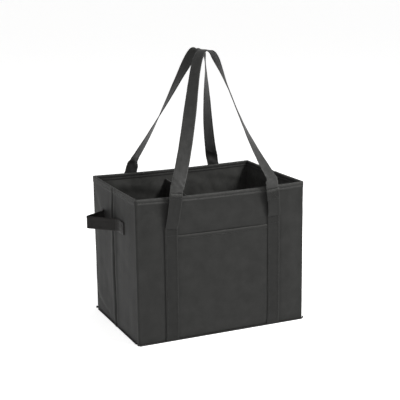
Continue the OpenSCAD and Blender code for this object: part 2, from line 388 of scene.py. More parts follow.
# Creases are u0, z0, u1, z1, width, height in millimetres, u running along +X or +Y
strapGrooves = [(s * u, -10, s * u, 227, 2.2, -1.0) for s in (-1, 1) for u in (95.4, 124.6)]
grooveMarks = [s * (u + m) * mm for s in (-1, 1) for u in (95.4, 124.6) for m in (-1.6, 0, 1.6)]
walls = {
    "front": {
        "half": bag["inX"], "seed": 3, "swell": 2.4, "waves": 0.5, "sag": 3.0,
        "creases": strapGrooves + [
            (-168, 273, -138, 262, 4, -1.6), (-166, 258, -136, 270, 3.5, 1.3),
            (-158, 274, -146, 254, 3, 1.0),
            (-160, 250, -128, 262, 6, -0.8), (150, 262, 172, 250, 5, -0.5), (-134, 240, -150, 150, 10, -0.5),
            (128, 240, 160, 262, 6, 0.4), (-60, 232, 40, 226, 8, -0.35),
            (30, 262, 92, 246, 7, 0.35), (-168, 40, -150, 14, 6, -0.6), (150, 12, 170, 44, 6, -0.6),
        ],
    },
    "back": {
        "half": bag["inX"], "seed": 11, "swell": 2.0, "waves": 0.5, "sag": 2.5,
        "creases": strapGrooves + [
            (-120, 262, -60, 236, 7, -0.5), (40, 230, 110, 258, 7, -0.5),
            (-168, 44, -148, 12, 6, -0.6), (148, 12, 168, 44, 6, -0.6), (-30, 120, 60, 96, 9, 0.4),
        ],
    },
    "left": {
        "half": bag["inY"], "seed": 7, "swell": 1.2, "waves": 0.55, "sag": 1.2,
        "creases": [
            (0, -10, 0, 300, 3.4, -3.6), (9, -10, 9, 300, 6, 0.9), (-9, -10, -9, 300, 6, 1.5),
            (118, 34, 47, 15, 7, -1.5), (118, 60, 60, 24, 14, 0.9), (-110, 20, -60, 60, 16, -0.35),
            (112, 250, 40, 196, 9, -0.6), (104, 200, 40, 236, 12, 0.5), (-20, 180, -90, 130, 14, -0.4),
            (70, 120, 30, 60, 12, -0.5), (-30, 262, -64, 240, 8, -0.4), (112, 262, 84, 232, 7, -0.5),
        ],
    },
    "right": {
        "half": bag["inY"], "seed": 23, "swell": 1.2, "waves": 0.5, "sag": 1.2,
        "creases": [
            (0, -10, 0, 300, 3.4, -3.4), (9, -10, 9, 300, 6, 1.2), (-9, -10, -9, 300, 6, 1.0),
            (110, 20, 50, 70, 14, -0.4), (-112, 40, -40, 20, 9, -0.7), (70, 180, 20, 120, 13, -0.45),
            (-100, 250, -52, 226, 8, -0.5), (40, 244, 96, 262, 7, 0.5),
        ],
    },
}


def clothRelief(wall, u, z):
    spec = walls[wall]
    edge = ease((spec["half"] - np.abs(u)) / (34 * mm))
    brim = 0.25 + 0.75 * ease((bag["rimLow"] + 2 * mm - z) / (36 * mm))
    foot = ease((z - 3 * mm) / (26 * mm))
    waves = spec["waves"] * ripple(u, z, spec["seed"], 75 * mm)
    waves = waves + 0.12 * ripple(u, z, spec["seed"] + 50, 24 * mm)
    total = (spec["swell"] + waves) * mm * edge * brim * foot
    for u0, z0, u1, z1, width, height in spec["creases"]:
        du, dz = (u1 - u0) * mm, (z1 - z0) * mm
        t = np.clip(((u - u0 * mm) * du + (z - z0 * mm) * dz) / (du * du + dz * dz), 0, 1)
        away = np.hypot(u - u0 * mm - t * du, z - z0 * mm - t * dz)
        border = ease((spec["half"] - np.abs(u)) / (3 * mm))
        line = height * mm * np.exp(-((away / (width * mm)) ** 2))
        total = total + line * border * (0.4 + 0.6 * brim)
    return total


lining = {"slack": 2.1}


# The point of a wall at u along it, at height z, and at a distance out from the bag's middle plane
def wallPoint(wall, u, z, distance):
    spec = walls[wall]
    u, z, distance = np.broadcast_arrays(u, z, distance)
    share = np.clip(1 - (u / spec["half"]) ** 2, 0, 1)
    height = z - spec["sag"] * mm * share * np.clip(z / bag["top"], 0, 1) ** 4
    if wall == "front":
        return np.stack([u, -distance, height], axis=-1)
    if wall == "back":
        return np.stack([u, distance, height], axis=-1)
    if wall == "left":
        return np.stack([-distance, u, height], axis=-1)
    return np.stack([distance, u, height], axis=-1)


def reach(wall, face):
    outer, inner = (bag["outY"], bag["inY"]) if wall in ("front", "back") else (bag["outX"], bag["inX"])
    return outer if face == "outer" else inner


# Distance of a wall's cloth at one face, with its swell, and lift further out from that face
def skinDistance(wall, u, z, face, lift=0.0):
    if face == "outer":
        return reach(wall, face) + clothRelief(wall, u, z) + lift
    spec = walls[wall]
    held = ease((spec["half"] - np.abs(u)) / (30 * mm)) * ease((bag["rimLow"] + 4 * mm - z) / (22 * mm))
    folds = np.abs(ripple(u, 1.4 * z, spec["seed"] + 40, 62 * mm))
    folds = folds + 0.5 * ripple(u, z, spec["seed"] + 41, 34 * mm)
    soft = (0.5 + lining["slack"] * np.maximum(folds, -0.3)) * mm * held
    return reach(wall, face) - soft - lift


# One cloth of a wall: its face swells, and its back lies on the board or meets the other cloth
def wallSkin(name, wall, face, u, z, stiff):
    front = wallPoint(wall, u, z, skinDistance(wall, u, z, face))
    depth = (bag["outY"] - bag["inY"]) / 2 - 0.03 * mm
    if wall in ("left", "right"):
        depth = np.where(np.abs(u) < sideFold["strip"], 2.9 * mm if face == "outer" else 0.95 * mm, depth)
    inside = np.where(stiff, bag["cloth"] - 0.06 * mm, depth)
    sign = -1 if face == "outer" else 1
    back = wallPoint(wall, u, z, reach(wall, face) + sign * inside)
    return panel(name, front, back)


edgeMarks = [2 * mm, bag["margin"] - 0.3 * mm]
boardEdge = bag["margin"] - 0.35 * mm  # cloth lies on the board inside this line
creaseMarks = [m * mm for m in (1, 2, 3.2, 4.6, 6.2, 8, 11, 25.2)]


def longWall(wall):
    half, top = bag["inX"], bag["wallTop"]
    marks = grooveMarks + [s * (half - m) for m in edgeMarks for s in (-1, 1)]
    us = spaced(-half, half, grid["cloth"], marks)
    zs = spaced(0.9 * mm, top, grid["cloth"], edgeMarks + [top - m for m in edgeMarks])
    u, z = np.meshgrid(us, zs)
    edge = boardEdge
    stiff = (np.abs(u) < bag["outX"] - edge) & (z > edge) & (z < top - edge)
    for face, cloth, slotName in clothFaces:
        skin = wallSkin(f"{wall}.{face}Cloth", wall, face, u, z, stiff)
        settle(skin, cloth, wall, [f"{wall}_{face}"])


def halfWall(side, end):
    sign = 1 if end == "rear" else -1
    body = f"{side}_{end}"
    edge = boardEdge
    for face, cloth, slotName in clothFaces:
        start = 0.03 * mm if face == "outer" else sideFold["strip"]
        marks = creaseMarks + [bag["inY"] - m for m in edgeMarks]
        us = sign * spaced(start, bag["inY"] - 0.05 * mm, grid["cloth"], marks)
        low = softTop(us)
        lower = [low + m for m in [0] + edgeMarks]
        upper = [np.full_like(us, bag["wallTop"] - m) for m in edgeMarks[::-1] + [0]]
        middle = [lower[-1] + (upper[0] - lower[-1]) * t for t in np.linspace(0, 1, 52)[1:-1]]
        z = np.array(lower + middle + upper)
        u = np.broadcast_to(us, z.shape)
        depth = bag["inY"] - np.abs(u)
        stiff = (depth > edge) & (np.abs(u) > edge) & (z < bag["wallTop"] - edge)
        stiff = stiff & (z > softTop(u) + edge * np.where(softTop(u) < sideFold["top"], 1.5, 1.0))
        skin = wallSkin(f"{body}.{face}Cloth", side, face, u, z, stiff)
        settle(skin, cloth, body, [f"{body}_{face}"])
    gusset(side, end, sign)


# Soft triangle of side wall below the boards, drawn flat; its crumpling as the base rises is not made here
def gusset(side, end, sign):
    us = sign * spaced(0, bag["inY"] - 0.05 * mm, grid["cloth"], creaseMarks)
    rows = np.linspace(0, 1, 38)
    z = 1.0 * mm + (softTop(us)[None, :] - 1.0 * mm) * rows[:, None]
    u = np.broadcast_to(us, z.shape)
    outer = wallPoint(side, u, z, skinDistance(side, u, z, "outer"))
    inner = wallPoint(side, u, z, skinDistance(side, u, z, "lining"))
    piece = panel(f"{side}_{end}.gusset", outer, inner)
    anchor = (0, 0, bag["baseTop"])
    crush = ((0, 0, 1), anchor, 0.05)
    settle(piece, shellCloth, f"base_{end}", [f"{side}_{end}_gusset"], crush=crush)


for wall in ("front", "back"):
    longWall(wall)
for side in ("left", "right"):
    for end in ("rear", "front"):
        halfWall(side, end)
print("walls made")

# Corners, rim binding and the strips that bend at the side creases

corner = {"radius": bag["outX"] - bag["inX"] - 0.05 * mm, "core": 0.6 * mm, "overlap": 11, "wrap": 164}


# Rolled corner about a fold line: the side wall stays against it all the way round
def cornerRoll(sideSign, endSign, body, low, high, radius, name, material, worn=False):
    first = math.radians(90 * endSign)
    turn = -sideSign * endSign
    angles = first + turn * np.radians(np.linspace(-corner["overlap"], corner["wrap"], 22))
    if worn:
        heights = np.array([low, low + 4 * mm, high - 4 * mm, high - 1.2 * mm, high - 0.3 * mm, high])
        radii = radius - np.array([0, 0, 0, 0.05, 0.7, 1.9]) * mm
    else:
        heights = spaced(low, high, 5 * mm)
        radii = radius + 0.12 * mm * ripple(heights, 0 * heights, 5 + sideSign + 2 * endSign, 40 * mm)
    rings = []
    for z, r in zip(heights, radii):
        cx, cy = sideSign * bag["inX"], endSign * bag["inY"]
        outer = [(cx + r * math.cos(a), cy + r * math.sin(a), z) for a in angles]
        core = corner["core"]
        inner = [(cx + core * math.cos(a), cy + core * math.sin(a), z) for a in angles[::-1]]
        rings.append(outer + inner)
    wear = None
    if worn:
        # Pale band round the corner's top fold, as on the binding: partly wear, partly painted highlight
        wear = np.zeros((len(heights), 2 * len(angles)))
        wear[3:5] = 0.5
    settle(loft(name, rings, wear), material, body)


for sideName, sideSign in sides:
    for body, endSign in longEnds:
        cornerRoll(
            sideSign, endSign, body, 1.2 * mm, bag["rimLow"] + 4 * mm, corner["radius"],
            f"{body}.{sideName}Corner", shellCloth,
        )
        cornerRoll(
            sideSign, endSign, body, bag["rimLow"], bag["top"], corner["radius"] + 0.62 * mm,
            f"{body}.{sideName}RimCorner", bindingCloth, worn=True,
        )

binding = {"cloth": 0.6 * mm, "seam": bag["top"] - 6.8 * mm}


# Section of the binding: down the outside, over the rim and down the inside, then back underneath
def bindingRings(wall, us):
    top, low, seam = bag["top"], bag["rimLow"], binding["seam"]
    levels = [low, low + 1 * mm, seam - 1.3 * mm, seam, seam + 1.3 * mm, top - 1.4 * mm, top - 0.35 * mm]
    rings = []
    for u in us:
        wave = 0.12 * mm * float(ripple(u, 0.3, walls[wall]["seed"], 28 * mm))
        hang = 0.35 * mm * float(ripple(u, 0.9, walls[wall]["seed"] + 1, 60 * mm))
        outside, inside = [], []
        for k, z in enumerate(levels):  # the seam pulls the cloth in, and it puffs either side
            tuck = {0: 0.2 * mm, 3: 0.35 * mm, 6: 0.55 * mm}.get(k, 0)
            puff = 0.25 * mm if k in (2, 4) else 0
            zz = z + (hang if k < 2 else 0)
            far = skinDistance(wall, u, bag["rimLow"], "outer") + binding["cloth"] + wave + puff - tuck
            near = skinDistance(wall, u, bag["rimLow"], "lining") - binding["cloth"] - wave - puff + tuck
            outside.append((far, zz))
            inside.append((near, zz))
        crown = [(outside[-1][0] - 1.3 * mm, top), (inside[-1][0] + 1.3 * mm, top)]
        path = outside + crown + inside[::-1]
        middle = (outside[0][0] + inside[0][0]) / 2
        under = []
        for distance, z in path:
            pull = -binding["cloth"] if distance > middle else binding["cloth"]
            under.append((distance + pull, min(z, top - binding["cloth"])))
        rings.append([wallPoint(wall, u, z, d) for d, z in path + under[::-1]])
    # Pale bands at the puff below the seam and over the crown: partly wear, partly painted highlight where
    # the rim's folds catch the light
    rubbedAndHighlit = [0.0, 0.0, 0.4, 0.1, 0.0, 0.35, 0.55, 0.2]
    wear = rubbedAndHighlit + rubbedAndHighlit[::-1]
    return np.array(rings).reshape(len(us), -1, 3), wear + [0.0] * len(wear)


for wall in ("front", "back"):
    us = spaced(-bag["inX"], bag["inX"], 4 * mm)
    rings, wear = bindingRings(wall, us)
    settle(loft(f"{wall}.rimBinding", rings, wear), bindingCloth, wall, [f"{wall}_rim"])
for side in ("left", "right"):
    for end, sign in (("rear", 1), ("front", -1)):
        us = sign * spaced(sideFold["strip"], bag["inY"], 4 * mm)
        rings, wear = bindingRings(side, us)
        piece = loft(f"{side}_{end}.rimBinding", rings, wear)
        settle(piece, bindingCloth, f"{side}_{end}", [f"{side}_{end}_rim"])
    # Across the crease, strips of binding and lining span the fold line, drawn flat
    crossing = spaced(-sideFold["strip"], sideFold["strip"], 1 * mm)
    start, end = (0, sideFold["strip"], 0), (0, -sideFold["strip"], 0)
    bend = (f"{side}_rear", f"{side}_front", start, end)
    rings, wear = bindingRings(side, crossing)
    settle(loft(f"{side}.creaseBinding", rings, wear), bindingCloth, bend=bend)
    zs = spaced(sideFold["top"], bag["wallTop"], 4 * mm)
    u, z = np.meshgrid(crossing, zs)
    strip = wallSkin(f"{side}.creaseLining", side, "lining", u, z, np.zeros(u.shape, bool))
    settle(strip, liningCloth, bend=bend)
print("rim and creases made")

# Base: two halves that fold up, with the lining running over their crease

base = {"clear": 0.3 * mm, "openGap": 1.3 * mm, "edge": 0.4 * mm, "ridge": 0.4 * mm}


# Top face of the base's lining at a distance from its crease, quiet towards its edges
def baseSkin(x, away, span, far):
    ridge = base["ridge"] * np.exp(-((away / (9 * mm)) ** 2))
    quiet = ease((span - np.abs(x)) / (20 * mm)) * ease((far - away) / (12 * mm))
    return bag["baseTop"] + ridge + (0.5 + 0.35 * ripple(x, away, 31, 70 * mm)) * mm * quiet


def baseHalf(end, sign):
    far = bag["baseEnd"] - (base["openGap"] if end == "front" else 0)
    span = bag["outX"] - base["edge"]
    edge = boardEdge
    body = f"base_{end}"
    for face in ("cloth", "lining"):
        near = base["clear"] if face == "cloth" else sideFold["strip"]
        marks = [2 * mm, edge, far - 2 * mm, far - edge, 8 * mm, 12 * mm]
        ys = spaced(near, far, 4 * mm, marks)
        xs = spaced(-span, span, 6 * mm, [s * (span - m) for m in (2 * mm, edge) for s in (-1, 1)])
        x, y = np.meshgrid(xs, ys)
        stiff = (np.abs(x) < span - edge) & (y > edge) & (y < far - edge)
        if face == "cloth":
            skin = np.full(x.shape, 0.02 * mm)
            back = np.where(stiff, bag["cloth"] - 0.06 * mm, 1.97 * mm)
        else:
            skin = baseSkin(x, y, span, far)
            back = np.where(stiff, bag["baseTop"] - bag["cloth"] + 0.06 * mm, 2.03 * mm)
        first = np.stack([x, sign * y, skin], axis=-1)
        second = np.stack([x, sign * y, back], axis=-1)
        piece = panel(f"{body}.{face}", first, second)
        material = shellCloth if face == "cloth" else liningCloth
        settle(piece, material, body, [f"{body}_{face}"])


def baseCrease():
    span = bag["outX"] - base["edge"]
    ys = spaced(-sideFold["strip"], sideFold["strip"], 1 * mm)
    xs = spaced(-span, span, 6 * mm)
    x, y = np.meshgrid(xs, ys)
    first = np.stack([x, y, baseSkin(x, np.abs(y), span, bag["baseEnd"])], axis=-1)
    second = np.stack([x, y, np.full(x.shape, 2.03 * mm)], axis=-1)
    piece = panel("base.creaseLining", first, second)
    bend = ("base_rear", "base_front", (0, sideFold["strip"], 0), (0, -sideFold["strip"], 0))
    settle(piece, liningCloth, bend=bend)


def hemStrip(end, sign):
    low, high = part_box(f"{end}_hem_strip")
    inner = min(abs(low.y), abs(high.y)) - 3 * mm
    ys = spaced(inner, bag["inY"] + 2.5 * mm, 1.2 * mm)
    xs = spaced(-bag["inX"] + 0.5 * mm, bag["inX"] - 0.5 * mm, 8 * mm)
    x, y = np.meshgrid(xs, ys)
    sink = -0.25 * mm * np.exp(-(((y - bag["baseEnd"]) / (2 * mm)) ** 2))
    first = np.stack([x, sign * y, bag["baseTop"] + 0.35 * mm + sink], axis=-1)
    second = np.stack([x, sign * y, np.full(x.shape, bag["baseTop"] - 0.5 * mm)], axis=-1)
    piece = panel(f"{end}.hemStrip", first, second)
    settle(piece, liningCloth, end, [f"{end}_hem_strip"])


for end, sign in halfEnds:
    baseHalf(end, sign)
baseCrease()
for end, sign in longEnds:
    hemStrip(end, sign)

# Rolled hems along the bottom edges, with a small ear at each corner

hem = {"radius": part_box("front_piping")[1].z / 2, "ear": 1.6 * mm, "sides": 12}


def hemTube(name, points, tall, wide, normal):
    rings = []
    for point, high, deep in zip(points, tall, wide):
        ring = []
        for k in range(hem["sides"]):
            angle = 2 * math.pi * (k + 0.5) / hem["sides"]
            rise = np.array((0, 0, high * math.sin(angle)))
            ring.append(np.array(point) + np.array(normal) * deep * math.cos(angle) + rise)
        rings.append(ring)
    return loft(name, rings, np.full((len(rings), hem["sides"]), 0.25))


def longHem(end, sign):
    reachX = bag["outX"] + hem["radius"] + hem["ear"]
    xs = spaced(-reachX, reachX, 3 * mm, [s * (reachX - 1 * mm) for s in (-1, 1)])
    ear = ease((np.abs(xs) - bag["outX"] + 3 * mm) / (5 * mm))
    tip = np.where(np.abs(xs) > reachX - 0.5 * mm, 0.45, 1.0)
    lump = 1 + 0.1 * ripple(xs, 0 * xs, 41 + sign, 30 * mm)
    tall = (hem["radius"] * lump + 1.5 * mm * ear) * tip
    wide = (hem["radius"] * lump * (1 - 0.5 * ear)) * tip
    points = [
        (x, sign * (bag["outY"] + 1.1 * mm - 2.5 * mm * e), t + 0.1 * mm + 0.8 * mm * e)
        for x, t, e in zip(xs, tall / tip, ear)
    ]
    piece = hemTube(f"{end}.rolledHem", points, tall, wide, (0, 1, 0))
    settle(piece, hemCloth, end, [f"{end}_piping"])


def sideHems(end, sign):
    low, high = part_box(f"base_{end}_piping")
    tubes = []
    for side in (-1, 1):
        ys = spaced(0.4 * mm, max(abs(low.y), abs(high.y)), 3 * mm, [1.5 * mm])
        ear = ease(1 - ys / (7 * mm)) * (1.0 if side < 0 else 0.5)
        lump = 1 + 0.12 * ripple(ys, 0 * ys, 50 + side + 2 * sign, 26 * mm)
        tall = hem["radius"] * lump + 1.0 * mm * ear
        wide = hem["radius"] * lump * (1 - 0.2 * ear)
        points = [
            (side * (bag["outX"] + 1.1 * mm + 1.3 * mm * e), sign * y, t + 0.1 * mm)
            for y, t, e in zip(ys, tall, ear)
        ]
        tubes.append(hemTube(f"side{side}", points, tall, wide, (1, 0, 0)))
    settle(join(f"base_{end}.rolledHems", tubes), hemCloth, f"base_{end}", [f"base_{end}_piping"])


for end, sign in longEnds:
    longHem(end, sign)
for end, sign in halfEnds:
    sideHems(end, sign)
print("base and hems made")

# Stitches: seams are gathered by body, then sewn by one node tree

stitch = {"length": 2.3 * mm, "pitch": 3.1 * mm, "width": 0.5 * mm}
seams = {}


def sewLine(body, points):
    seams.setdefault(body, []).append([tuple(p) for p in points])


# Short lengths of thread set along each seam
def stitchTree():
    tree = bpy.data.node_groups.new("stitchRun", "GeometryNodeTree")
    face = tree.interface
    face.new_socket("Seam", in_out="INPUT", socket_type="NodeSocketGeometry")
    for label in ("length", "pitch", "width"):
        made = face.new_socket(label.title(), in_out="INPUT", socket_type="NodeSocketFloat")
        made.default_value = stitch[label]
    face.new_socket("Thread", in_out="INPUT", socket_type="NodeSocketMaterial")
    face.new_socket("Stitches", in_out="OUTPUT", socket_type="NodeSocketGeometry")
    given = addNode(tree, "NodeGroupInput").outputs
    line = addNode(tree, "GeometryNodeMeshToCurve", links={"Mesh": given["Seam"]})
    spots = addNode(
        tree,
        "GeometryNodeCurveToPoints",
        links={"Curve": line.outputs["Curve"], "Length": given["Pitch"]},
        mode="LENGTH",
    )
    bead = addNode(tree, "GeometryNodeMeshUVSphere", {"Segments": 6, "Rings": 5, "Radius": 0.5})
    size = addNode(
        tree,
        "ShaderNodeCombineXYZ",
        links={"X": given["Width"], "Y": given["Width"], "Z": given["Length"]},
    )
    spread = addNode(
        tree,
        "FunctionNodeRandomValue",
        {"Min": (-0.09, -0.09, 0.0), "Max": (0.09, 0.09, 0.0), "Seed": 17},
        data_type="FLOAT_VECTOR",
    )
    tilt = addNode(
        tree,
        "FunctionNodeRotateRotation",
        links={"Rotation": spots.outputs["Rotation"], "Rotate By": spread.outputs["Value"]},
        rotation_space="LOCAL",
    )
    laid = addNode(
        tree,
        "GeometryNodeInstanceOnPoints",
        links={
            "Points": spots.outputs["Points"],
            "Instance": bead.outputs["Mesh"],
            "Rotation": tilt.outputs["Rotation"],
            "Scale": size.outputs["Vector"],
        },
    )
    real = addNode(tree, "GeometryNodeRealizeInstances", links={"Geometry": laid.outputs["Instances"]})
    smooth = addNode(tree, "GeometryNodeSetShadeSmooth", links={"Geometry": real.outputs["Geometry"]})
    dyed = addNode(
        tree,
        "GeometryNodeSetMaterial",
        links={"Geometry": smooth.outputs["Geometry"], "Material": given["Thread"]},
    )
    addNode(tree, "NodeGroupOutput", links={"Stitches": dyed.outputs["Geometry"]})
    return tree


def sewBody(tree, lines, name):
    verts, edges = [], []
    for line in lines:
        first = len(verts)
        verts += line
        edges += [(first + i, first + i + 1) for i in range(len(line) - 1)]
    mesh = bpy.data.meshes.new("seamLines")
    mesh.from_pydata(verts, edges, [])
    path = addObject("seamLines", mesh)
    run = path.modifiers.new("stitches", "NODES")
    run.node_group = tree
    sockets = {s.name: s.identifier for s in tree.interface.items_tree if s.in_out == "INPUT"}
    run[sockets["Thread"]] = thread
    shown = path.evaluated_get(bpy.context.evaluated_depsgraph_get())
    made = bpy.data.meshes.new_from_object(shown)
    bpy.data.objects.remove(path)
    made.name = name
    made.materials.clear()
    made.materials.append(thread)
    return addObject(name, made)


# Seam along a wall's face from one u, z to another
def wallSeam(body, wall, face, start, end, lift=0.15 * mm):
    count = max(2, int(np.hypot(end[0] - start[0], end[1] - start[1]) / (4 * mm)))
    u, z = np.linspace(start[0], end[0], count), np.linspace(start[1], end[1], count)
    sewLine(body, wallPoint(wall, u, z, skinDistance(wall, u, z, face, lift)))


for wall in ("front", "back"):
    for face in ("outer", "lining"):
        us = np.linspace(-bag["inX"] + 3 * mm, bag["inX"] - 3 * mm, 90)
        level = skinDistance(wall, us, bag["rimLow"], face, binding["cloth"] - 0.15 * mm)
        sewLine(wall, wallPoint(wall, us, binding["seam"], level))
for side in ("left", "right"):
    for end, sign in (("rear", 1), ("front", -1)):
        for face in ("outer", "lining"):
            us = sign * np.linspace(sideFold["strip"] + 1 * mm, bag["inY"] - 3 * mm, 40)
            level = skinDistance(side, us, bag["rimLow"], face, binding["cloth"] - 0.15 * mm)
            sewLine(f"{side}_{end}", wallPoint(side, us, binding["seam"], level))

# Pocket: a flat patch between the sewn straps, open at its top hem

pocket = {
    "half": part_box("front_pocket")[1].x,
    "top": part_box("front_pocket")[1].z, "low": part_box("front_pocket")[0].z,
    "cloth": 0.8 * mm, "hem": 8 * mm, "slack": 1.1 * mm,
}


def pocketLift(x, z):
    mouth = ease((z - pocket["top"] + 30 * mm) / (30 * mm)) * (1 - (x / pocket["half"]) ** 2)
    loose = 0.22 * mm * (1 + ripple(x, z, 61, 90 * mm)) * ease((pocket["half"] - np.abs(x)) / (15 * mm))
    return 0.08 * mm + pocket["slack"] * mouth + loose


def makePocket():
    xs = spaced(-pocket["half"], pocket["half"], grid["cloth"])
    marks = [pocket["top"] - m * mm for m in (0.4, 1.2, 7.4, 8, 8.6)]
    zs = spaced(pocket["low"], pocket["top"], grid["cloth"], marks)
    x, z = np.meshgrid(xs, zs)
    raised = 0.45 * mm * (z > pocket["top"] - pocket["hem"]) - 0.3 * mm * (z > pocket["top"] - 0.3 * mm)
    dip = -0.25 * mm * np.exp(-(((z - pocket["top"] + pocket["hem"]) / (1.2 * mm)) ** 2))
    under = skinDistance("front", x, z, "outer") + pocketLift(x, z)
    outer = wallPoint("front", x, z, under + pocket["cloth"] + raised + dip)
    inner = wallPoint("front", x, z, under)
    worn = 0.45 * np.exp(-(((z - pocket["top"]) / (1.6 * mm)) ** 2))
    wear = np.concatenate([worn, np.zeros_like(worn)], axis=1)
    piece = loft("front.pocket", np.concatenate([outer, inner[:, ::-1]], axis=1), wear)
    settle(piece, shellCloth, "front", ["front_pocket"])
    us = np.linspace(-pocket["half"] + 2 * mm, pocket["half"] - 2 * mm, 60)
    level = pocket["top"] - pocket["hem"] + 1.2 * mm
    lift = pocketLift(us, level) + pocket["cloth"] + 0.55 * mm
    sewLine("front", wallPoint("front", us, level, skinDistance("front", us, level, "outer") + lift))
    return piece


frontPocket = makePocket()

# Divider: a hanging cloth, cut away below so that the base can rise

divider = {
    "x": (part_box("divider")[0].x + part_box("divider")[1].x) / 2, "top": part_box("divider")[1].z,
    "thick": 1.3 * mm, "hem": 10 * mm, "gap": 1.2 * mm,
    "fall": 13 * mm,  # its front end is sewn in lower
    "rise": 3 * mm,  # room above the base's crease when it is folded up
}
dividerCrush = ((0, 1, 0), (0, bag["inY"], 0), 0.19)


def dividerPlace(y, z):
    held = ease((bag["inY"] - np.abs(y)) / (35 * mm))
    slope = divider["fall"] * ease((bag["inY"] - y) / (1.2 * bag["inY"]))
    droop = (2.2 * mm * (1 - (y / bag["inY"]) ** 2) + slope) * np.clip(z / divider["top"], 0, 1) ** 3
    wave = 1.6 * mm * ripple(y, z * 0.4, 71, 90 * mm) * held
    return divider["x"] + wave, z - droop


def makeDivider():
    ys = spaced(-bag["inY"] + divider["gap"], bag["inY"] - divider["gap"], grid["cloth"])
    low = softTop(ys) + divider["rise"]
    rows = [low + (divider["top"] - low) * t for t in np.linspace(0, 1, 60)]
    rows = rows[:-1] + [np.full_like(ys, divider["top"] - m * mm) for m in (1, 0.2)]
    z = np.array(rows)
    y = np.broadcast_to(ys, z.shape)
    x, height = dividerPlace(y, z)
    thick = divider["thick"] / 2 + 0.45 * mm * (z > divider["top"] - divider["hem"])
    thick = thick - 0.4 * mm * (z > divider["top"] - 0.6 * mm)
    first = np.stack([x - thick, y, height], axis=-1)
    second = np.stack([x + thick, y, height], axis=-1)
    worn = np.exp(-(((z - divider["top"]) / (2.2 * mm)) ** 2))
    wear = np.concatenate([worn, worn[:, ::-1]], axis=1)
    piece = loft("divider.cloth", np.concatenate([first, second[:, ::-1]], axis=1), wear)
    settle(piece, liningCloth, "back", ["divider"], crush=dividerCrush)
    lines = []
    level = divider["top"] - divider["hem"] + 1.5 * mm
    for face in (-1, 1):
        along = np.linspace(ys[0] + 3 * mm, ys[-1] - 3 * mm, 60)
        x, height = dividerPlace(along, np.full_like(along, level))
        beside = x + face * (divider["thick"] / 2 + 0.5 * mm)
        lines.append([tuple(p) for p in np.stack([beside, along, height], axis=-1)])
    return piece, lines


dividerCloth, dividerSeams = makeDivider()
print("pocket and divider made")

# Straps: one ribbon shape serves the sewn straps, risers, loops and grab handles

strap = {
    "width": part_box("front_strap_left")[1].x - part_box("front_strap_left")[0].x,
    "thick": 1.7 * mm, "hem": 0.35 * mm, "low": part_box("front_strap_left")[0].z,
    "sewn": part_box("front_strap_left")[1].z,
    "x": (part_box("front_strap_right")[0].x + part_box("front_strap_right")[1].x) / 2,
    "step": 3 * mm, "off": 0.25 * mm,
}


def unit(v):
    return v / np.maximum(np.linalg.norm(v, axis=-1, keepdims=True), 1e-9)


# Flat ribbon along a path; each row of side points across it
def ribbon(
    name, path, side, width, thick, seed, edgeHem=0.3 * mm, worn=0.25, curl=0.0, crinkle=(), tip=None
):
    path, side = np.asarray(path, float), np.asarray(side, float)
    along = unit(np.gradient(path, axis=0))
    side = unit(side - (side * along).sum(axis=1, keepdims=True) * along)
    normal = np.cross(along, side)
    travel = np.concatenate([[0], np.cumsum(np.linalg.norm(np.diff(path, axis=0), axis=1))])
    across = np.array([-0.5, -0.485, -0.44, -0.36, -0.3, -0.15, 0, 0.15, 0.3, 0.36, 0.44, 0.485, 0.5])
    swell = np.array([0.55, 0.85, 1.0, 1.0, 0.8, 0.86, 0.9, 0.86, 0.8, 1.0, 1.0, 0.85, 0.55])
    rows = []
    for k, offset in enumerate(across):
        wide = offset * width * (1 + 0.012 * ripple(travel, 0 * travel, seed + 3, 45 * mm))
        lift = 0.3 * mm * ripple(travel, offset * width, seed, 30 * mm) * 0.6 + curl * (2 * offset) ** 2
        for place, spread, depth in crinkle:
            fade = np.exp(-(((travel - place) / spread) ** 2))
            lift = lift + depth * fade * ripple(travel, offset * width * 0.7, seed + 7, 13 * mm)
        rows.append((wide, lift))
    half = thick / 2
    upper, lower = [], []
    for (wide, lift), s in zip(rows, swell):
        middle = path + side * wide[:, None]
        upper.append(middle + normal * (lift + half * s + edgeHem * (s >= 1))[:, None])
        lower.append(middle + normal * (lift - half * s)[:, None])
    rings = np.stack(upper + lower[::-1], axis=1)
    edges = [worn if s < 0.9 and abs(a) > 0.4 else 0.0 for a, s in zip(across, swell)]
    wear = np.array(np.broadcast_to(edges + edges[::-1], rings.shape[:2]))
    # The riser's folded upper end is painted pale: partly wear, partly painted highlight where the fold
    # catches light from above
    if tip is not None:  # folded over and rubbed at its upper end
        wear = np.maximum(wear, 0.9 * np.exp(-(((path[:, 2] - tip) / (3.5 * mm)) ** 2))[:, None])
    return loft(name, rings, wear)


def mirrored(end):
    return -1 if end == "front" else 1


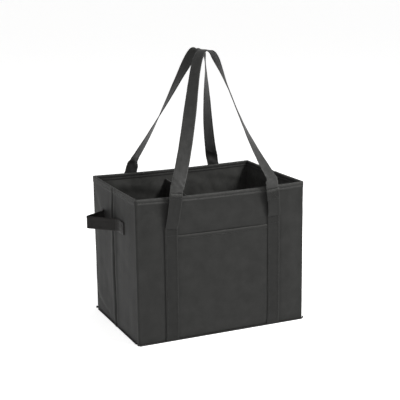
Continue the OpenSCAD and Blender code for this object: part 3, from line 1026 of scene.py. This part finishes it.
# Strap sewn flat up the wall
def sewnStrap(end, sideName, x):
    sign = mirrored(end)
    marks = [strap["sewn"] - m * mm for m in (0.5, 1.5)]
    zs = spaced(strap["low"] - 2 * mm, strap["sewn"], strap["step"], marks)
    us = np.full_like(zs, x)
    lift = strap["off"] + strap["thick"] / 2
    path = wallPoint(end, us, zs, skinDistance(end, us, zs, "outer", lift))
    side = np.tile((sign * -1.0, 0, 0), (len(zs), 1))
    seed = 81 + int(x * 100) + sign
    piece = ribbon(f"{end}.{sideName}Strap", path, side, strap["width"], strap["thick"], seed)
    settle(piece, strapCloth, end, [f"{end}_strap_{sideName}"])
    for offset in (-0.4, 0.4):
        u = np.full_like(zs[2:-2], x + offset * strap["width"])
        proud = strap["off"] + strap["thick"] + strap["hem"] + 0.05 * mm
        distance = skinDistance(end, np.full_like(u, x), zs[2:-2], "outer", proud)
        sewLine(end, wallPoint(end, u, zs[2:-2], distance))
    for z in (strap["sewn"] - 3 * mm, strap["sewn"] - 16 * mm):
        us = np.linspace(x - 0.4 * strap["width"], x + 0.4 * strap["width"], 8)
        proud = strap["off"] + strap["thick"] + 0.25 * mm
        distance = skinDistance(end, np.full_like(us, x), z, "outer", proud)
        sewLine(end, wallPoint(end, us, z, distance))


for end in ("front", "back"):
    for sideName, x in (("left", -strap["x"]), ("right", strap["x"])):
        sewnStrap(end, sideName, x)

# Risers lean off the wall, and each loop turns and bends over the bag

loopShape = {
    "kinkZ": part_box("front_riser_left")[1].z - 1 * mm,  # where a strap bends back over the bag
    "kinkY": 140 * mm, "legY": 77 * mm, "legZ": 429 * mm, "apexY": 13.8 * mm, "apexZ": 549.6 * mm,
    "points": 96,
}
# Sideways places in millimetres, foot to top; the heights between which the lap is sewn;
# and how far the strap has turned about the vertical, in degrees, at shares of its way up
legs = {
    ("front", "left"): {
        "foot": -110, "kink": -101, "mid": -35, "high": -14, "apex": 21, "highZ": 568, "lap": (284, 297),
        "turn": {0: 4, 0.25: 27, 0.5: 60, 0.7: 68, 0.8: 74, 1: 90},
    },
    ("front", "right"): {
        "foot": 110, "kink": 101, "mid": 42, "high": 48, "apex": 21, "highZ": 557, "lap": (262, 285),
        "turn": {0: 16, 0.15: 40, 0.3: 64, 0.52: 68, 0.6: 78, 0.68: 90, 0.78: 100, 0.9: 98, 1: 90},
    },
    ("back", "left"): {
        "foot": -110, "kink": -85, "mid": -27, "high": -2, "apex": 14, "highZ": 557, "lap": (264, 284),
        "turn": {
            0: 22, 0.05: 29, 0.1: 34, 0.19: 49, 0.3: 66, 0.44: 86, 0.6: 100, 0.7: 113, 0.86: 116, 1: 104,
        },
    },
    ("back", "right"): {
        "foot": 110, "kink": 99, "mid": 52, "high": 42, "apex": 14, "highZ": 557, "lap": (264, 284),
        "turn": {0: 30, 0.04: 52, 0.2: 67, 0.4: 88, 0.52: 104, 0.7: 118, 0.88: 100, 1: 76},
    },
}


# Line of a riser from where the strap leaves the wall to its kink
def riserLine(end, leg, zs):
    t = (zs - strap["sewn"]) / (loopShape["kinkZ"] - strap["sewn"])
    x = (leg["foot"] + (leg["kink"] - leg["foot"]) * np.clip(t, 0, 1)) * mm
    wall = bag["outY"] + clothRelief(end, np.full_like(zs, leg["foot"] * mm), zs)
    surface = wall + strap["off"] + strap["thick"] / 2
    surface = surface + strap["thick"] + strap["hem"]
    bow = np.clip(t, 0, 1) ** 0.62 + 0.12 * np.sin(math.pi * np.clip(t, 0, 1))
    lean = surface + (loopShape["kinkY"] - surface) * bow
    y = np.where(zs < strap["sewn"], surface, np.maximum(lean, surface))
    return np.stack([x, mirrored(end) * y, zs], axis=-1)


def curvePoint(p, u):
    u = u[:, None]
    return (1 - u) ** 3 * p[0] + 3 * (1 - u) ** 2 * u * p[1] + 3 * (1 - u) * u * u * p[2] + u**3 * p[3]


def legLine(end, leg, turn):
    sign = mirrored(end)
    low, high = leg["lap"][0] * mm, loopShape["kinkZ"] - 3 * mm
    zs = spaced(low, high, strap["step"])
    foot = riserLine(end, leg, zs)
    foot[:, 1] -= sign * (strap["thick"] + strap["hem"] + 0.3 * mm)  # behind the riser's end
    control = [
        np.array((leg["kink"] * mm, sign * loopShape["kinkY"], loopShape["kinkZ"] + 3 * mm)),
        np.array((leg["mid"] * mm, sign * loopShape["legY"], loopShape["legZ"])),
        np.array((leg["high"] * mm, sign * loopShape["apexY"], leg["highZ"] * mm)),
        np.array((leg["apex"] * mm, sign * loopShape["apexY"], loopShape["apexZ"])),
    ]
    u = np.linspace(0, 1, loopShape["points"])
    rise = curvePoint(control, u)
    shares = sorted(leg["turn"])
    angle = np.radians(np.interp(u, shares, [leg["turn"][share] for share in shares]))
    angle = np.convolve(np.pad(angle, 5, mode="edge"), np.ones(11) / 11, mode="valid")
    side = np.stack([np.cos(angle), sign * turn * np.sin(angle), 0 * angle], axis=-1)
    path = np.concatenate([foot, rise])
    return path, np.concatenate([np.tile((1.0, 0, 0), (len(foot), 1)), side])


def smoothed(points, passes):
    points = points.copy()
    for _ in range(passes):
        points[1:-1] = (points[:-2] + 2 * points[1:-1] + points[2:]) / 4
    return points


def makeHandle(end):
    left, leftSide = legLine(end, legs[end, "left"], 1)
    right, rightSide = legLine(end, legs[end, "right"], -1)
    path = np.concatenate([left, right[::-1][1:]])
    side = np.concatenate([leftSide, -rightSide[::-1][1:]])
    travel = np.concatenate([[0], np.cumsum(np.linalg.norm(np.diff(path, axis=0), axis=1))])
    even = np.linspace(0, travel[-1], int(travel[-1] / strap["step"]))
    path = np.stack([np.interp(even, travel, path[:, k]) for k in range(3)], axis=-1)
    side = np.stack([np.interp(even, travel, side[:, k]) for k in range(3)], axis=-1)
    path, side = smoothed(path, 5), smoothed(side, 5)
    whole = even[-1]
    first, last = ((len(leg) - loopShape["points"]) * strap["step"] + 6 * mm for leg in (left, right))
    bends = first, whole - last
    piece = ribbon(
        f"{end}.handleLoop", path, side, strap["width"], strap["thick"], 91 + mirrored(end),
        worn=0.35, curl=0.5 * mm, crinkle=[(place, 16 * mm, 1.5 * mm) for place in bends],
    )
    hinge = (loopShape["kinkZ"] - 5 * mm, loopShape["kinkZ"] + 15 * mm)
    bend = (f"{end}_riser", f"{end}_loop", (0, 0, hinge[0]), (0, 0, hinge[1]))
    # The front loop gets the lit copy and the back loop the shaded copy: painted light and painted shade
    settle(piece, litAndShadedHandleCloth[end], nodes=[f"{end}_handle"], bend=bend)


def makeRiser(end, sideName):
    leg, sign = legs[end, sideName], mirrored(end)
    zs = spaced(strap["sewn"] - 2 * mm, leg["lap"][1] * mm, strap["step"])
    path = smoothed(riserLine(end, leg, zs), 1)
    side = np.tile((-sign * 1.0, 0, 0), (len(zs), 1))
    piece = ribbon(
        f"{end}.{sideName}Riser", path, side, strap["width"], strap["thick"], 101 + int(leg["kink"]),
        tip=leg["lap"][1] * mm,
    )
    bend = (end, f"{end}_riser", (0, 0, strap["sewn"] - 2 * mm), (0, 0, strap["sewn"] + 12 * mm))
    settle(piece, strapCloth, nodes=[f"{end}_riser_{sideName}"], bend=bend)
    lapLow, lapHigh = leg["lap"][0] * mm + 3 * mm, leg["lap"][1] * mm - 2 * mm
    half = 0.4 * strap["width"]
    corners = [(-half, lapLow), (half, lapLow), (half, lapHigh), (-half, lapHigh)]
    for a, b in ((0, 1), (1, 2), (2, 3), (3, 0), (0, 2), (1, 3)):
        z = np.linspace(corners[a][1], corners[b][1], 8)
        points = riserLine(end, leg, z)
        points[:, 0] += np.linspace(corners[a][0], corners[b][0], 8)
        points[:, 1] += sign * (0.5 * strap["thick"] + 0.2 * mm)
        sewLine(f"{end}_riser", points)


for end in ("front", "back"):
    makeHandle(end)
    for sideName in ("left", "right"):
        makeRiser(end, sideName)
print("handles made")

# Grab handles: each bridges its wall's crease and is cut in two there

grab = {
    "low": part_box("left_grab_rear")[0].z,
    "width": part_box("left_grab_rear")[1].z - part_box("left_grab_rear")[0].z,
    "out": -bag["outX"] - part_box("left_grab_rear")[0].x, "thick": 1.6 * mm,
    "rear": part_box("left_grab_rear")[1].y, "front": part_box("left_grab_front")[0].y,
    "bend": 24 * mm, "leave": -30 * mm,
    "tack": 11 * mm,
}


def grabLine(sideName, sign):
    flat = grab["thick"] / 2 + 0.5 * mm
    middleZ = grab["low"] + grab["width"] / 2
    corners = [
        (grab["rear"] + grab["tack"], flat), (grab["rear"] + 1 * mm, flat),
        (grab["bend"] + 1.2 * mm, grab["out"] - 3 * mm),
        (grab["bend"] - 1.6 * mm, grab["out"] - 2.6 * mm), (grab["leave"] + 3 * mm, flat + 1.8 * mm),
        (grab["leave"] - 5 * mm, flat), (grab["front"], flat),
    ]
    ys, outs = zip(*corners)
    travel = np.concatenate([[0], np.cumsum(np.hypot(np.diff(ys), np.diff(outs)))])
    even = np.linspace(0, travel[-1], 120)
    y, out = np.interp(even, travel, ys), np.interp(even, travel, outs)
    line = smoothed(np.stack([y, out], axis=-1), 6)
    y, out = line[:, 0], line[:, 1]
    droop = 1.2 * mm * np.clip(out / grab["out"], 0, 1)
    surface = clothRelief(sideName, y, np.full_like(y, middleZ)) * (out < 4 * mm)
    return np.stack([sign * (bag["outX"] + out + surface), y, middleZ - droop], axis=-1)


def makeGrab(sideName, sign):
    path = grabLine(sideName, sign)
    side = np.tile((0, 0, 1.0), (len(path), 1))
    whole = ribbon(
        f"{sideName}Grab", path, side, grab["width"], grab["thick"], 121 + sign,
        edgeHem=0.15 * mm, worn=0.3,
    )
    cut = int(np.argmin(np.abs(path[:, 1])))
    size = len(whole.data.vertices) // len(path)
    points = np.array([v.co for v in whole.data.vertices]).reshape(len(path), size, 3)
    bpy.data.objects.remove(whole)
    crush = ((1, 0, 0), (sign * bag["outX"], 0, 0), 0.06)
    for end, part in (("rear", points[: cut + 1]), ("front", points[cut:])):
        piece = loft(f"{sideName}_{end}.grabStrap", part)
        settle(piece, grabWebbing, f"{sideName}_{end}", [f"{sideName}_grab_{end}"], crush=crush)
    top, low = grab["low"] + grab["width"] - 2.5 * mm, grab["low"] + 2.5 * mm
    proud = grab["thick"] + 0.75 * mm
    for end, length in (("rear", 8.5 * mm), ("front", 9 * mm)):
        near, far = grab[end] + 2.5 * mm, grab[end] + length
        for first, last in ((near, near), (far, far), (near, far), (far, near)):
            wallSeam(f"{sideName}_{end}", sideName, "outer", (first, low), (last, top), proud)


for sideName, sign in sides:
    makeGrab(sideName, sign)

sewing = stitchTree()
for body, lines in seams.items():
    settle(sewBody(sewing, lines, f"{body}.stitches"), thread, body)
piece = sewBody(sewing, dividerSeams, "divider.stitches")
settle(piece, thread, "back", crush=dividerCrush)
print("grab handles and stitches made")

# Room, light and camera

studio = {
    "floor": "#f4f4f3", "span": 30, "glow": 0.77, "horizon": 1.0, "overhead": 0.15,
    "key": {"place": (1.1, -1.5, 1.9), "size": 0.6, "power": 52},
    "fill": {"place": (-0.6, -1.6, 2.4), "size": 1.2, "power": 4},
    "top": {"place": (0.2, -0.1, 2.4), "size": 1.4, "power": 12},
}


def makeFloor():
    mesh = bpy.data.meshes.new("studioFloor")
    span = studio["span"]
    corners = [(-span, -span, 0), (span, -span, 0), (span, span, 0), (-span, span, 0)]
    mesh.from_pydata(corners, [], [(0, 1, 2, 3)])
    paint = bpy.data.materials.new("paleMattPaint")
    paint.use_nodes = True
    skin = paint.node_tree.nodes["Principled BSDF"].inputs
    skin["Base Color"].default_value = hexColour(studio["floor"])
    skin["Roughness"].default_value = 0.9
    skin["Specular IOR Level"].default_value = 0.1
    skin["Emission Color"].default_value = (1, 1, 1, 1)
    skin["Emission Strength"].default_value = studio["glow"]
    mesh.materials.append(paint)
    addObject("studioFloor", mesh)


def makeLight(name, spec):
    lamp = bpy.data.lights.new(name, "AREA")
    lamp.shape, lamp.size, lamp.energy = "DISK", spec["size"], spec["power"]
    holder = addObject(name, lamp)
    holder.location = spec["place"]
    aim = Vector((0, 0, 0.2)) - Vector(spec["place"])
    holder.rotation_mode = "QUATERNION"
    holder.rotation_quaternion = aim.to_track_quat("-Z", "Y")


# Soft room: white walls to a little above the horizon, dimmer overhead
def makeWorld():
    world = bpy.data.worlds.new("studioWorld")
    world.use_nodes = True
    tree = world.node_tree
    place = addNode(tree, "ShaderNodeTexCoord").outputs["Generated"]
    split = addNode(tree, "ShaderNodeSeparateXYZ", links={"Vector": place})
    level = addNode(
        tree,
        "ShaderNodeMapRange",
        {"From Min": 0.2, "From Max": 0.36, "To Min": studio["horizon"], "To Max": studio["overhead"]},
        {"Value": split.outputs["Z"]},
    )
    sky = tree.nodes["Background"]
    sky.inputs["Color"].default_value = (1, 1, 1, 1)
    tree.links.new(level.outputs["Result"], sky.inputs["Strength"])
    bpy.context.scene.world = world


makeFloor()
for name in ("key", "fill", "top"):
    makeLight(f"{name}Light", studio[name])
makeWorld()
bpy.context.scene.view_settings.view_transform = "Standard"

# Angles in degrees; the camera looks past the aim point, moved right and up by the shifts
cameraSpec = {
    "azimuth": -23.98, "elevation": 13.33, "roll": -0.76, "distance": 2.1315, "aim": (0, 0, 0.145),
    "right": 0.00725, "up": 0.09686, "lens": 92.66,
}


def makeCamera():
    turn, tilt, roll = (math.radians(cameraSpec[k]) for k in ("azimuth", "elevation", "roll"))
    look = Vector((-math.sin(turn) * math.cos(tilt), math.cos(turn) * math.cos(tilt), -math.sin(tilt)))
    right = look.cross(Vector((0, 0, 1))).normalized()
    up = right.cross(look)
    shift = right * cameraSpec["right"] + up * cameraSpec["up"]
    place = Vector(cameraSpec["aim"]) - look * cameraSpec["distance"] + shift
    leanRight = right * math.cos(roll) + up * math.sin(roll)
    leanUp = up * math.cos(roll) - right * math.sin(roll)
    lens = bpy.data.cameras.new("studioCamera")
    lens.lens, lens.sensor_width, lens.clip_end = cameraSpec["lens"], 36, 100
    holder = addObject("studioCamera", lens)
    turned = Matrix((leanRight, leanUp, -look)).transposed().to_4x4()
    holder.matrix_world = Matrix.Translation(place) @ turned
    bpy.context.scene.camera = holder


makeCamera()
print("studio made")
